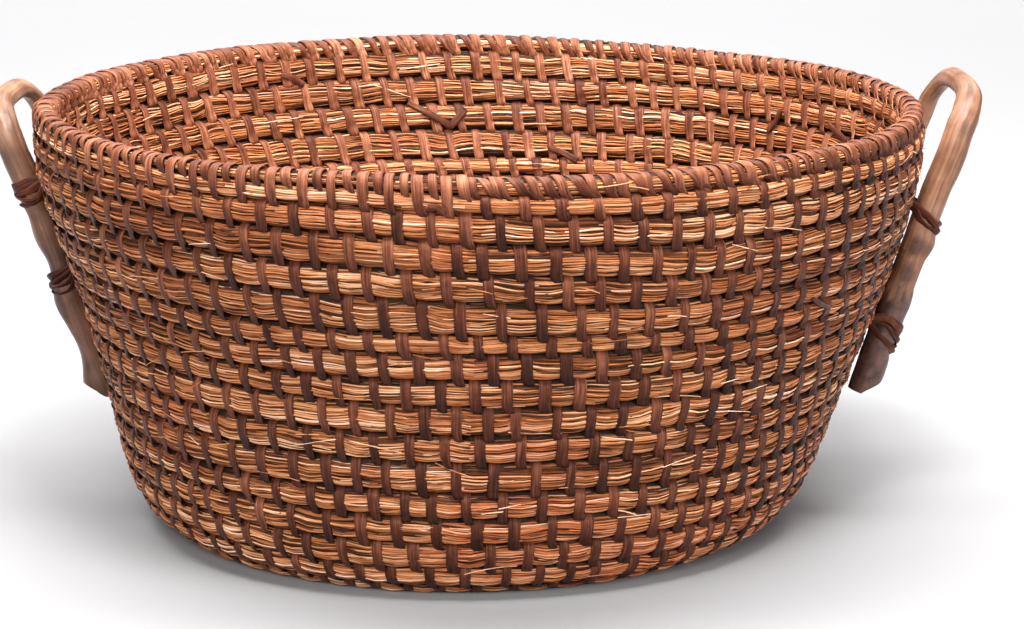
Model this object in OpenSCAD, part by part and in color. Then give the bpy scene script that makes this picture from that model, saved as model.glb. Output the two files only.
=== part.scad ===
// Coiled straw basket with two bent-wood handles.
// One long bundle of straw is wound in a spiral, flat for the base and then climbing for the wall,
// and every turn is bound to the one below it with stitches of flat splint.
// The origin is the centre of the base, on the surface that the basket stands on. +Z is up, the
// handles stand at -X and +X, and the coil ends in the rim at -Y. Sizes are in millimetres.

/* [Coil] */
// Distance from one turn of the coil to the next
pitch = 17.1; // [17.1:0.1:18]
// Radius of the straw bundle
straw_r = 7.5; // [7:0.1:7.5]
// Radius of the bundle where it ends in the rim
rim_end_r = 4.2; // [3.5:0.1:6]
// Slope of the middle of the wall, in degrees from level
wall_slope = 71.5; // [68:0.5:75]

/* [Splint] */
// Width of the splint
splint_w = 6; // [4:0.5:7]
// Thickness of the splint
splint_t = 0.9; // [0.6:0.1:0.9]
// Distance between stitches along the coil
stitch_gap = 19.5; // [18:0.5:30]
// Distance between wraps along the rim
rim_gap = 11; // [9:0.5:20]

/* [Handles] */
// Radius of the handle rod
rod_r = 8.25; // [7:0.25:8.25]
// Half the distance between a handle's two legs
leg_half = 54; // [50:1:58]
// Distance of the handle's plane from the basket's axis, at the height of the rim
handle_out = 293.5; // [293:0.5:300]
// Height of the middle of the rod at the top of the loop
handle_top_z = 272; // [268:1:285]
// Height of the lower ends of the legs
leg_end_z = 82; // [70:1:95]
// Angle by which each handle stands behind the widest line
handle_back = 4; // [0:1:6]

/* [Lashings] */
// Turns of splint in an upper lashing
upper_wraps = 2; // [1:1:3]
// Turns of splint in a lower lashing
lower_wraps = 3; // [1:1:3]

/* [Hidden] */
$fn = 48;

straw_colour = "#b9773f";
splint_colour = "#7a4b35";
rod_colour = "#9a7455";

// The coil is followed by its turn number. Turn 0 is where the base meets the wall, at -Y. Each
// turn runs clockwise seen from above: past -X, +Y and +X, and back to -Y.
base_turns = 9.5;
wall_turns = 15;
base_r = pitch * (base_turns + 1);
clear = 0.05;                        // gap between the straw and the splint around it
splint_r = straw_r + clear;
base_z = splint_r + splint_t - 0.45; // the base stitches are worn half through underneath

// Slope of the step up to each turn of the wall: it turns up out of the base, runs straight, and
// stands upright at the rim.
SLOPES = [[1, 30], [2, 52], [3, 66], [4, 70], [5, wall_slope], [12, wall_slope], [13, 74], [14, 79], [15, 85]];

function step_r(k) = pitch * cos(lookup(k, SLOPES));
function step_z(k) = pitch * sin(lookup(k, SLOPES));

// Radius and height of the middle of the bundle at whole turn k
function whole_r(k) = k <= 0 ? base_r + pitch * k : whole_r(k - 1) + step_r(k);
function whole_z(k) = k <= 0 ? base_z : whole_z(k - 1) + step_z(k);

// The same at turn t, straight between whole turns
function coil_r(t) = let(k = floor(t)) whole_r(k) + (t - k) * (whole_r(k + 1) - whole_r(k));
function coil_z(t) = let(k = floor(t)) whole_z(k) + (t - k) * (whole_z(k + 1) - whole_z(k));

// Half-turn h starts at turn h / 2. It is an arc of a circle in a plane tilted about the X axis, so
// it meets the arcs before and after it with no corner.
function end_y(h) = (h % 2 == 0 ? -1 : 1) * coil_r(h / 2);
function arc_mid(h) = [0, (end_y(h) + end_y(h + 1)) / 2, (coil_z(h / 2) + coil_z((h + 1) / 2)) / 2];
function arc_dy(h) = end_y(h + 1) - end_y(h);
function arc_dz(h) = coil_z((h + 1) / 2) - coil_z(h / 2);
function arc_r(h) = norm([arc_dy(h), arc_dz(h)]) / 2;
function arc_tilt(h) = atan(arc_dz(h) / arc_dy(h));
function arc_start(h) = h % 2 == 0 ? -90 : 90;

// The point at turn t on its arc
function coil_point(t) =
    let(h = floor(2 * t), a = arc_start(h) - 180 * (2 * t - h), tilt = arc_tilt(h))
    arc_mid(h) + arc_r(h) * [cos(a), sin(a) * cos(tilt), sin(a) * sin(tilt)];

// Moves its children, which lie in the XY plane about the origin, into the plane of half-turn h
module arc_plane(h) {
    translate(arc_mid(h)) rotate([arc_tilt(h), 0, 0]) children();
}

// The bundle over half-turn h. The second half of a turn has its section turned, so that its seam
// meets the seam of the first half.
module half_turn(h) {
    seam = h % 2 == 0 ? 0 : arc_tilt(h - 1) - arc_tilt(h);
    arc_plane(h)
        rotate([0, 0, arc_start(h) - 180])
            rotate_extrude(angle = 180)
                translate([arc_r(h), 0])
                    rotate(seam)
                        circle(r = straw_r);
}

module straw_turn(k) {
    color(straw_colour)
        union() {
            half_turn(2 * k - 2);
            half_turn(2 * k - 1);
        }
}

// A closed band of splint about the Z axis
module splint_ring(r) {
    difference() {
        cylinder(r = r + splint_t, h = splint_w, center = true);
        cylinder(r = r, h = splint_w + 1, center = true);
    }
}

// The stitches of half-turn h. Those of each turn stand between those of the turn below.
module half_turn_stitches(h) {
    count = round(PI * arc_r(h) / stitch_gap);
    stagger = floor(h / 2) % 2 == 0 ? 0.3 : 0.8;
    for (i = [0 : count - 1])
        arc_plane(h)
            rotate([0, 0, arc_start(h) - 180 * (i + stagger) / count])
                translate([arc_r(h), 0, 0])
                    rotate([90, 0, 0])
                        splint_ring(splint_r);
}

module stitches_turn(k) {
    color(splint_colour) {
        half_turn_stitches(2 * k - 2);
        half_turn_stitches(2 * k - 1);
    }
}

// ---- base ----
knot_r = pitch - splint_r - splint_t - 0.2;
knot_edge = 2;

// The bent start of the bundle, bound into a button that is worn flat underneath
module base_start_knot() {
    top = base_z + straw_r;
    color(straw_colour)
        rotate_extrude()
            polygon([
                [0, 0], [knot_r - knot_edge, 0], [knot_r, knot_edge],
                [knot_r, top - knot_edge], [knot_r - knot_edge, top], [0, top],
            ]);
}

module straw_base_coil() {
    color(straw_colour)
        union() {
            translate([0, pitch, base_z]) sphere(r = straw_r);
            for (h = [-2 * base_turns : -1]) half_turn(h);
        }
}

module stitches_base() {
    color(splint_colour)
        intersection() {
            for (h = [-2 * base_turns : -1]) half_turn_stitches(h);
            translate([0, 0, 50]) cube([600, 600, 100], center = true);
        }
}

// ---- rim ----
// The last turn lies on the turn below it and thins out to its end.
rim_rings = 60;
rim_sides = 12;
rim_end_slope = 90;

function rim_bundle_r(t) = straw_r + (t - wall_turns) * (rim_end_r - straw_r);
function rim_lift(t) = pitch + rim_bundle_r(t) - straw_r;
function rim_slope(t) = lookup(t, [[wall_turns, 85], [wall_turns + 1, rim_end_slope]]);
function rim_radial(t) = let(p = coil_point(t - 1)) [p.x, p.y, 0] / norm([p.x, p.y]);
function rim_point(t) =
    coil_point(t - 1) + rim_lift(t) * (cos(rim_slope(t)) * rim_radial(t) + [0, 0, sin(rim_slope(t))]);

function rim_ring(t) = [
    for (j = [0 : rim_sides - 1])
        let(a = 360 * j / rim_sides)
        rim_point(t) + rim_bundle_r(t) * (cos(a) * rim_radial(t) + [0, 0, sin(a)])
];

module straw_rim_turn() {
    // The rings stop just short of whole turns, so that the ends stay clear of each other.
    points = [for (i = [0 : rim_rings]) each rim_ring(wall_turns + 0.0005 + 0.999 * i / rim_rings)];
    sides = [
        for (i = [0 : rim_rings - 1], j = [0 : rim_sides - 1])
            let(a = i * rim_sides, n = (j + 1) % rim_sides)
            [a + j, a + rim_sides + j, a + rim_sides + n, a + n]
    ];
    first = [for (j = [0 : rim_sides - 1]) j];
    last = [for (j = [rim_sides - 1 : -1 : 0]) rim_rings * rim_sides + j];
    color(straw_colour) polyhedron(points, concat(sides, [first, last]), convexity = 4);
}

module rim_wraps() {
    count = round(2 * PI * whole_r(wall_turns) / rim_gap);
    color(splint_colour)
        for (i = [0 : count - 1])
            let(t = wall_turns + (i + 0.5) / count, u = rim_radial(t))
            translate(rim_point(t))
                rotate([0, 0, atan2(u.y, u.x)])
                    rotate([90, 0, 0])
                        splint_ring(rim_bundle_r(t) + clear);
}

// ---- handles ----
// Each handle is one rod bent into a hairpin. Its plane leans out with the wall. In that plane X is
// the outward normal, Y runs between the legs and Z runs up them, with 0 at handle_z, where
// handle_out is measured.
handle_z = 250;
lean = 90 - wall_slope;
loop_mid = (handle_top_z - handle_z) / cos(lean) - leg_half;
leg_end = (leg_end_z - handle_z) / cos(lean);
chisel_angle = 45;

module handle_plane(side) {
    mirror([side < 0 ? 1 : 0, 0, 0])
        rotate([0, 0, handle_back])
            translate([handle_out, 0, handle_z])
                rotate([0, lean, 0])
                    children();
}

module leg(y) {
    difference() {
        translate([0, y, leg_end]) cylinder(r = rod_r, h = loop_mid - leg_end);
        translate([0, y, leg_end + rod_r])
            rotate([0, -chisel_angle, 0])
                translate([0, 0, -5 * rod_r])
                    cube(10 * rod_r, center = true);
    }
}

module handle(side) {
    color(rod_colour)
        handle_plane(side)
            union() {
                leg(-leg_half);
                leg(leg_half);
                translate([0, 0, loop_mid])
                    rotate([90, 0, 90])
                        rotate_extrude(angle = 180)
                            translate([leg_half, 0])
                                circle(r = rod_r);
            }
}

// ---- lashings ----
// A lashing goes round a leg and through the gap between two turns on both sides of it, and a strap
// inside the basket joins its two tails.
tail_r = 0.8;
lash_r = rod_r + clear;
tail_y = lash_r + splint_t / 2;
wall_gap = straw_r + clear + splint_t + 0.15;  // from the middle of the wall to its faces

// Height on the leg, in the handle's plane, of the gap above turn n, where the coil passes a
// handle a quarter turn (left) or three quarters (right) on from -Y
function gap_height(side, n) =
    let(t = n + (side < 0 ? 0.25 : 0.75))
    ((coil_point(t).z + coil_point(t + 1).z) / 2 - handle_z) / cos(lean);

// end is -1 for the leg nearer -Y and 1 for the other
module lashing(side, end, n, wraps) {
    height = wraps * splint_w;
    wall_x = -(rod_r + 2 * wall_gap);
    color(splint_colour)
        handle_plane(side)
            translate([0, end * leg_half, gap_height(side, n)])
                rotate([0, 0, end * asin(leg_half / handle_out)])
                    union() {
                        translate([0, 0, -height / 2])
                            rotate([0, 0, -90])
                                rotate_extrude(angle = 180)
                                    translate([lash_r, 0])
                                        square([splint_t, height]);
                        for (s = [-1, 1]) {
                            translate([-rod_r / 2, s * tail_y, 0])
                                cube([rod_r, splint_t, height], center = true);
                            translate([wall_x, s * tail_y, 0])
                                rotate([0, 90, 0])
                                    cylinder(r = tail_r, h = -wall_x - rod_r + 1);
                        }
                        translate([wall_x - splint_t / 2, 0, 0])
                            cube([splint_t, 2 * tail_y + 2 * tail_r, splint_w], center = true);
                    }
}

function turn_name(prefix, k) = str(prefix, k < 10 ? "0" : "", k);

base_start_knot();
straw_base_coil();
stitches_base();
for (k = [1 : wall_turns]) {
    straw_turn(k);
    stitches_turn(k);
}
straw_rim_turn();
rim_wraps();
handle(-1);  // handle_left
handle(1);  // handle_right
lashing(-1, -1, 12, upper_wraps);  // lashing_left_front_upper
lashing(-1, -1, 9, lower_wraps);  // lashing_left_front_lower
lashing(-1, 1, 12, upper_wraps);  // lashing_left_back_upper
lashing(-1, 1, 9, lower_wraps);  // lashing_left_back_lower
lashing(1, -1, 11, upper_wraps);  // lashing_right_front_upper
lashing(1, -1, 6, lower_wraps);  // lashing_right_front_lower
lashing(1, 1, 11, upper_wraps);  // lashing_right_back_upper
lashing(1, 1, 6, lower_wraps);  // lashing_right_back_lower
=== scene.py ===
"""Looks of a coiled straw basket: straw stalks, splint stitches, a wrapped rim, two handles, lashings.

Lengths are in metres. A place along the coil is its turn t: turn 0 is where the base meets the wall, at
-Y, and each turn runs clockwise seen from above. A place on the wall is its azimuth, its level k, which
is the turn of the bundle there, and its distance d outside the middle of the wall. Across the bundle, u
runs up the wall and v runs outward.
"""
import bisect
import math

import bpy
import numpy as np
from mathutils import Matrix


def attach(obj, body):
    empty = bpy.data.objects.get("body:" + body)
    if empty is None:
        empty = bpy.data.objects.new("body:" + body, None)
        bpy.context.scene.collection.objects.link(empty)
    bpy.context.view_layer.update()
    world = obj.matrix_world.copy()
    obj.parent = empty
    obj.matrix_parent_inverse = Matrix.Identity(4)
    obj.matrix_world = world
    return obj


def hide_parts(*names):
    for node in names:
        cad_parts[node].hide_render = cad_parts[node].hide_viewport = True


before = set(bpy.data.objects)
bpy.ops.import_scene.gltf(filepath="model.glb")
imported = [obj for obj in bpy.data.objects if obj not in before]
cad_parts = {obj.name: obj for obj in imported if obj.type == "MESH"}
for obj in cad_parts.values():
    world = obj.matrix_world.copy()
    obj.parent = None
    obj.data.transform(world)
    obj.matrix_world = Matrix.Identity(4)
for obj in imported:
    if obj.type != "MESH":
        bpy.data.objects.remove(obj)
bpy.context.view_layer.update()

# ---- camera ----
CAMERA_PLACE = (0.0208, -2.079, 0.610)
CAMERA_TILT = math.radians(13.24)
CAMERA_LENS = 117.9

camera_data = bpy.data.cameras.new("Camera")
camera_data.lens = CAMERA_LENS
camera_data.sensor_width = 36
camera = bpy.data.objects.new("Camera", camera_data)
camera.location = CAMERA_PLACE
camera.rotation_euler = (math.pi / 2 - CAMERA_TILT, 0, 0)
bpy.context.scene.collection.objects.link(camera)
bpy.context.scene.camera = camera

MM = 0.001

# ---- driving dimensions, the same as in the design ----
PITCH = 17.1 * MM
BASE_TURNS = 9.5
WALL_TURNS = 15
BASE_R = PITCH * (BASE_TURNS + 1)
BASE_Z = 8.0 * MM
# Slope of the step up to each turn of the wall, in degrees from level
STEP_SLOPES = (
    (0, 0), (1, 30), (2, 52), (3, 66), (4, 70), (5, 71.5),
    (12, 71.5), (13, 74), (14, 79), (15, 85), (16, 90),
)

# ---- the bundle ----
TAIL_TURNS = 0.24  # length of the thin tail that lies on the start of the last turn
# The last turn and its tail: turn, half height and half depth
RIM_TURNS = (15, 15.15, 15.3, 15.4, 15.5, 15.7, 15.9, 15.97, 16.0, 16.03, 16 + TAIL_TURNS)
RIM_HALF_HEIGHTS = np.array((4.7, 5.2, 5.1, 4.5, 4.6, 4.2, 5.5, 5.1, 4.2, 3.7, 1.8)) * MM
HALF_DEPTHS = np.array((7.8, 7.2, 6.8, 6.4, 6.0, 5.6, 5.4, 5.2, 5.0, 4.6, 2.2)) * MM
START_TURN = -BASE_TURNS - 0.55
END_TURN = WALL_TURNS + 1 + TAIL_TURNS
TURN_STEPS = 400
SECTION_POWER = 2.25  # of the bundle's section, 2 for an ellipse
# Hand-made unevenness: the turns are not all as thick as the pitch, so the boundary above a turn stands
# this many pitches out of place
ROW_SHIFTS = (
    (0, 0.0), (2, 0.04), (3, 0.11), (4, 0.10), (5, 0.29), (6, 0.35), (7, 0.51), (8, 0.50), (9, 0.46),
    (9.6, 0.25), (9.95, 0.18), (10.04, 0.32), (10.4, 0.0), (10.7, 0.05), (10.94, 0.26), (11.04, 0.64),
    (11.12, 0.64), (11.5, 0.10), (11.94, 0.16), (12.04, 0.72), (12.12, 0.71), (12.5, 0.28), (12.94, 0.27),
    (13.04, 0.81), (13.12, 0.86), (13.5, 0.38), (13.94, 0.32), (14.04, 0.78), (14.12, 0.66), (14.25, 0.53),
    (14.5, 0.48), (14.65, 0.22), (14.78, 0.04), (14.94, 0.01), (15, 0.10),
)

# ---- splint ----
SPLINT_W = 6.6 * MM
SPLINT_T = 0.8 * MM
STITCH_GAP = 18.9 * MM
RIM_STITCH_GAP = 16.6 * MM

# ---- handles: as in the design, but settled with age ----
ROD_R = 8.25 * MM
LEG_HALF = 54 * MM
HANDLE_OUT = 293.5 * MM
# The right and the left one have moved outward by this much, inward where it is negative, at these
# heights above HANDLE_Z, in mm
SETTLED_AT = (-175, -120, -60, 0, 22)
SETTLED = {1: (1.0, 1.6, 1.2, 2.2, 6.4), -1: (-6.5, -6.0, -6.8, -0.6, 4.8)}
LEG_EXTRA = {1: 2 * MM, -1: 4 * MM}
HANDLE_Z = 250 * MM
HANDLE_TOP_Z = 272 * MM
LEG_END_Z = 82 * MM
HANDLE_BACK = math.radians(4)
LEAN = math.radians(90 - 71.5)
CHISEL = math.radians(45)
LOOP_MID = (HANDLE_TOP_Z - HANDLE_Z) / math.cos(LEAN) - LEG_HALF
LEG_END = (LEG_END_Z - HANDLE_Z) / math.cos(LEAN)


# ---- noise and curves ----
def smooth_noise(x, seed):
    """Smooth noise from -1 to 1 along x, with a new value at each whole number."""
    values = np.random.default_rng(seed).uniform(-1, 1, 4096)
    x = np.asarray(x, float)
    cell = np.floor(x).astype(int)
    part = x - cell
    part = part * part * (3 - 2 * part)
    return values[cell % 4096] * (1 - part) + values[(cell + 1) % 4096] * part


def signed_power(x, power):
    return np.sign(x) * np.abs(x) ** power


def section_point(half_height, half_depth, angle, power=SECTION_POWER):
    """(u, v) on a bundle's section. The angle is 0 at the outside and a right angle at the top."""
    u = half_height * signed_power(np.sin(angle), 2 / power)
    v = half_depth * signed_power(np.cos(angle), 2 / power)
    return u, v


def running_total(values, step):
    return np.concatenate([[0], np.cumsum((values[1:] + values[:-1]) / 2) * step])


# ---- the wall as a surface ----
LEVELS = np.linspace(-13, 18, 1551)
LEVEL_SLOPES = np.radians(np.interp(LEVELS + 0.5, *zip(*STEP_SLOPES)))
LEVEL_RADII = running_total(PITCH * np.cos(LEVEL_SLOPES), LEVELS[1] - LEVELS[0])
LEVEL_RADII += BASE_R - np.interp(0, LEVELS, LEVEL_RADII)
LEVEL_HEIGHTS = BASE_Z + running_total(PITCH * np.sin(LEVEL_SLOPES), LEVELS[1] - LEVELS[0])
LOWEST = 0.15 * MM  # the underside is worn level just above the surface it stands on
# With age the foot has moved sideways and forward under the rim, and its corner has filled out.
SAG = (-8 * MM, -15 * MM)
SAG_LEVEL = 9
FULLER = 5 * MM
FULL_LEVEL = 6
# The wall's dents, which grow with its height: three and five round it, and a wave in its height
THREE_DENTS = 1.3 * MM
FIVE_DENTS = 0.8 * MM
HEIGHT_WAVE = 1.2 * MM
# Around this level, and this many levels up and down, the right side is out and the left side is in.
MIDDLE_LEVEL = 9.0
MIDDLE_REACH = 3.3
RIGHT_BULGE = 1.0 * MM
LEFT_DENT = 1.4 * MM


def wall_point(azimuth, level, out):
    """Points of the wall at an azimuth and level, this far outside its middle."""
    slope = np.interp(level, LEVELS, LEVEL_SLOPES)
    radius = np.interp(level, LEVELS, LEVEL_RADII)
    height = np.interp(level, LEVELS, LEVEL_HEIGHTS)
    up = np.clip(level / WALL_TURNS, 0, 1)
    low = np.clip(1 - level / SAG_LEVEL, 0, 1)
    full = np.clip(1 - level / FULL_LEVEL, 0, 1) ** 1.5
    radius = radius + FULLER * full * np.clip(radius / BASE_R, 0, 1)
    three = THREE_DENTS * np.sin(3 * azimuth + 0.6)
    five = FIVE_DENTS * np.sin(5 * azimuth + 0.35 * level)
    middle = np.exp(-((level - MIDDLE_LEVEL) / MIDDLE_REACH) ** 2)
    right = RIGHT_BULGE * np.clip(np.cos(azimuth), 0, 1)
    left = LEFT_DENT * np.clip(-np.cos(azimuth), 0, 1) ** 2
    dent = up * (three + five) + middle * (right - left)
    radius = radius + out * np.sin(slope) + dent
    height = height - out * np.cos(slope)
    height = height + up * HEIGHT_WAVE * np.sin(2 * azimuth + 2.2)
    height = np.maximum(height, LOWEST)
    x = radius * np.cos(azimuth) + SAG[0] * low
    y = radius * np.sin(azimuth) + SAG[1] * low
    return np.stack([x, y, height], -1)


def azimuth_at(turn):
    return -math.pi / 2 - 2 * math.pi * turn


def coil_radius(turn):
    return np.interp(turn, LEVELS, LEVEL_RADII)


# ---- the boundaries between the turns ----
GRID = np.arange(round(START_TURN * TURN_STEPS), round(END_TURN * TURN_STEPS) + 1) / TURN_STEPS
GRID_LENGTHS = running_total(2 * math.pi * np.maximum(coil_radius(GRID), 6 * MM), 1 / TURN_STEPS)


def uneven(turn):
    """How far the boundary above this turn is out of place, in pitches."""
    fade = np.clip((turn + BASE_TURNS) / 1.5, 0, 1) * np.clip((WALL_TURNS + 0.2 - turn) / 0.4, 0, 1)
    wave = 0.05 * smooth_noise(turn * 9, 11) + 0.045 * smooth_noise(turn * 23, 12)
    return wave * fade + np.interp(turn, *zip(*ROW_SHIFTS))


def boundaries():
    """Levels of the bottom and the top of the bundle along GRID."""
    top = GRID + 0.5 + uneven(GRID)
    bottom = GRID - 0.5
    for i in range(len(GRID)):
        if i >= TURN_STEPS:
            bottom[i] = top[i - TURN_STEPS]
        if GRID[i] > WALL_TURNS:
            top[i] = bottom[i] + 2 * np.interp(GRID[i], RIM_TURNS, RIM_HALF_HEIGHTS) / PITCH
    return bottom, top


BOTTOM, TOP = boundaries()


def bundle(turn):
    """Middle level, half height and half depth of the bundle at a turn."""
    bottom = np.interp(turn, GRID, BOTTOM)
    top = np.interp(turn, GRID, TOP)
    depth = np.interp(turn, RIM_TURNS, HALF_DEPTHS)
    depth = depth * (1 + 0.04 * smooth_noise(turn * 15, 13))
    return (bottom + top) / 2, (top - bottom) / 2 * PITCH, depth


def coil_length(turn):
    return np.interp(turn, GRID, GRID_LENGTHS)


def turns_per_metre(turn):
    return 1 / (2 * math.pi * np.maximum(coil_radius(turn), 12 * MM))


# ---- mesh building ----
def tube_faces(ring_counts, sides):
    """Quads along tubes that are stacked one after another, and a cap on each end of each."""
    ends = np.cumsum(ring_counts)
    starts = ends - ring_counts
    joined = np.ones(ends[-1], bool)
    joined[ends - 1] = False
    ring = np.flatnonzero(joined)[:, None] * sides
    side = np.arange(sides)
    following = (side + 1) % sides
    quads = np.stack([ring + side, ring + following, ring + sides + following, ring + sides + side], -1)
    caps = [starts[:, None] * sides + side[::-1], (ends[:, None] - 1) * sides + side]
    return quads.reshape(-1, 4), np.concatenate(caps)


class Soup:
    """Points, faces and attributes of one piece, gathered from many closed tubes."""

    def __init__(self):
        self.points, self.faces, self.grain, self.tone, self.shade = [], [], [], [], []
        self.count = 0

    def add(self, rings, ring_counts, grain, tone, shade):
        """rings is (ring, side, xyz); grain is (ring, side, 3); tone and shade are (ring, side)."""
        sides = rings.shape[1]
        for faces in tube_faces(np.asarray(ring_counts), sides):
            self.faces.append(faces + self.count)
        self.points.append(rings.reshape(-1, 3))
        self.grain.append(grain.reshape(-1, 3))
        self.tone.append(np.broadcast_to(tone, rings.shape[:2]).ravel())
        self.shade.append(np.broadcast_to(shade, rings.shape[:2]).ravel())
        self.count += rings.shape[0] * sides

    def piece(self, name, material, nodes):
        """Makes the Blender object, which stands for these CAD nodes."""
        mesh = bpy.data.meshes.new(name)
        points = np.concatenate(self.points).astype(np.float32)
        loops = np.concatenate([f.ravel() for f in self.faces]).astype(np.int32)
        sizes = np.concatenate([np.full(len(f), f.shape[1]) for f in self.faces])
        mesh.vertices.add(len(points))
        mesh.vertices.foreach_set("co", points.ravel())
        mesh.loops.add(len(loops))
        mesh.loops.foreach_set("vertex_index", loops)
        mesh.polygons.add(len(sizes))
        mesh.polygons.foreach_set("loop_start", (np.cumsum(sizes) - sizes).astype(np.int32))
        mesh.update(calc_edges=True)
        mesh.shade_smooth()
        grain = mesh.attributes.new("grain", "FLOAT_VECTOR", "POINT")
        grain.data.foreach_set("vector", np.concatenate(self.grain).astype(np.float32).ravel())
        for key, values in (("tone", self.tone), ("shade", self.shade)):
            attribute = mesh.attributes.new(key, "FLOAT", "POINT")
            attribute.data.foreach_set("value", np.concatenate(values).astype(np.float32))
        mesh.materials.append(material)
        made = bpy.data.objects.new(name, mesh)
        bpy.context.scene.collection.objects.link(made)
        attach(made, "root")
        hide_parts(*nodes)
        return made


def normalised(vectors):
    return vectors / np.maximum(np.linalg.norm(vectors, axis=-1, keepdims=True), 1e-9)


# Section of a strip of splint: across its width, and through its thickness, as shares of each
STRIP_ACROSS = np.array([-0.50, -0.46, -0.22, 0.22, 0.46, 0.50, 0.30, -0.30])
STRIP_THROUGH = np.array([0.05, 0.62, 1.0, 1.0, 0.62, 0.05, -0.25, -0.25])


def add_strips(soup, middles, outwards, width, thickness, tone, shade, seed):
    """Strips of splint, as many as middles has rows. middles and outwards are (strip, step, xyz); the rest
    broadcasts to (strip, step). The inner face of a strip lies along middles."""
    strips, steps = middles.shape[:2]
    along = normalised(np.gradient(middles, axis=1))
    across = normalised(np.cross(along, outwards))
    through = np.cross(across, along)
    width = np.broadcast_to(width, (strips, steps))[..., None, None]
    thickness = np.broadcast_to(thickness, (strips, steps))[..., None, None]
    rings = (middles[:, :, None] + across[:, :, None] * STRIP_ACROSS[:, None] * width
             + through[:, :, None] * STRIP_THROUGH[:, None] * thickness)
    travelled = np.cumsum(np.linalg.norm(np.diff(middles, axis=1, prepend=middles[:, :1]), axis=-1), axis=1)
    marks = np.random.default_rng(seed).uniform(0, 10, strips)
    grain = np.zeros((strips, steps, len(STRIP_ACROSS), 3))
    grain[..., 0] = travelled[..., None] + marks[:, None, None]
    grain[..., 1] = STRIP_ACROSS * width[..., 0]
    grain[..., 2] = marks[:, None, None]
    sides = len(STRIP_ACROSS)
    tone = np.broadcast_to(tone, (strips, steps)).reshape(-1, 1)
    shade = np.broadcast_to(shade, (strips, steps)).reshape(-1, 1)
    soup.add(rings.reshape(-1, sides, 3), np.full(strips, steps), grain.reshape(-1, sides, 3), tone, shade)


# ---- where the stitches stand ----
def place_stitches(first, last, gap, seed):
    """Turns of the stitches from first to last. Each is drawn towards the middle of the two below it."""
    rng = np.random.default_rng(seed)
    places = [first]
    while places[-1] < last:
        step = gap * turns_per_metre(places[-1])
        turn = places[-1] + step * (1 + 0.16 * rng.uniform(-1, 1))
        i = bisect.bisect(places, turn - 1)
        if 0 < i < len(places):
            between = (places[i - 1] + places[i]) / 2 + 1
            turn += np.clip(0.4 * (between - turn), -0.15 * step, 0.15 * step)
        places.append(turn)
    return places


STITCHES = np.array(place_stitches(START_TURN + 0.1, WALL_TURNS, STITCH_GAP, 21))
RIM_STITCHES = np.array(place_stitches(STITCHES[-1], WALL_TURNS + 1 - 0.004, RIM_STITCH_GAP, 22))
STITCHES = STITCHES[:-1]
# Above the start of the last turn, the wraps of the tail stand between the long stitches.
LONG_STITCHES = RIM_STITCHES[RIM_STITCHES <= WALL_TURNS + TAIL_TURNS]
TAIL_WRAPS = 1 + LONG_STITCHES - RIM_STITCH_GAP / 2 * turns_per_metre(WALL_TURNS)

# ---- straw ----
# The bundle is sampled at these shares of the way from one stitch to the next, and is pinched at a stitch.
CELL_SHARES = (0.0, 0.25, 0.50, 0.75)
CELL_PINCH = (1.0, 0.15, -0.30, 0.15)
PINCH_HEIGHT = 0.06
PINCH_DEPTH = 0.14

knots = np.concatenate([STITCHES, RIM_STITCHES, TAIL_WRAPS])
knots = knots[np.concatenate([[True], np.diff(knots) > 0.0015])]
RING_TURNS = (knots[:-1, None] + np.diff(knots)[:, None] * np.array(CELL_SHARES)).ravel()
RING_PINCH = np.tile(CELL_PINCH, len(knots) - 1)
STALK_SIDES = 4


def pinched_bundle(turn, pinch):
    middle, half_height, half_depth = bundle(turn)
    return middle, half_height * (1 - PINCH_HEIGHT * pinch), half_depth * (1 - PINCH_DEPTH * pinch)


def add_stalks(soup, counts, turn, pinch, angle, lift, thick, wide, tone, mark):
    """Stalks as tubes that run along the bundle near its surface. Arrays hold one value for each ring of
    each stalk; lift is how far a stalk's middle is outside its usual place."""
    middle, half_height, half_depth = pinched_bundle(turn, pinch)
    u, v = section_point(half_height - 0.8 * thick, half_depth - 0.8 * thick, angle)
    u = u + lift * np.sin(angle)
    v = v + lift * np.cos(angle)
    spin = 2 * math.pi * np.arange(STALK_SIDES) / STALK_SIDES
    sin_a, cos_a = np.sin(angle)[:, None], np.cos(angle)[:, None]
    outward = thick[:, None] * np.cos(spin)
    sideways = wide[:, None] * np.sin(spin)
    u = u[:, None] + outward * sin_a + sideways * cos_a
    v = v[:, None] + outward * cos_a - sideways * sin_a
    rings = wall_point(azimuth_at(turn)[:, None], middle[:, None] + u / PITCH, v)
    grain = np.zeros(rings.shape)
    grain[..., 0] = coil_length(turn)[:, None]
    grain[..., 1] = sideways + mark[:, None] * 0.05
    grain[..., 2] = mark[:, None]
    soup.add(rings, counts, grain, tone[:, None], 0.0)


def lay_lanes(rng, first, last, angles, length_range):
    """Start ring, ring count and lane angle of the stalks that cover the rings from first to last."""
    stalks = []
    for angle in angles:
        start = first - int(rng.integers(0, 12))
        while start < last:
            count = int(rng.integers(*length_range))
            begin = max(start, first)
            end = min(start + count, len(RING_TURNS) - 1)
            if end - begin > 3:
                stalks.append((begin, end - begin + 1, angle))
            start += count - 2
    return stalks


def lane_angles(outside, inside, top):
    """Angles round the section of the lanes that can be seen."""
    reach = math.radians(74)
    angles = list(np.linspace(-reach, reach, outside))
    angles += list(np.linspace(math.pi - reach, math.pi + reach, inside))
    if top:
        angles += list(np.linspace(reach + 0.12, math.pi - reach - 0.12, top))
    return angles


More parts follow.
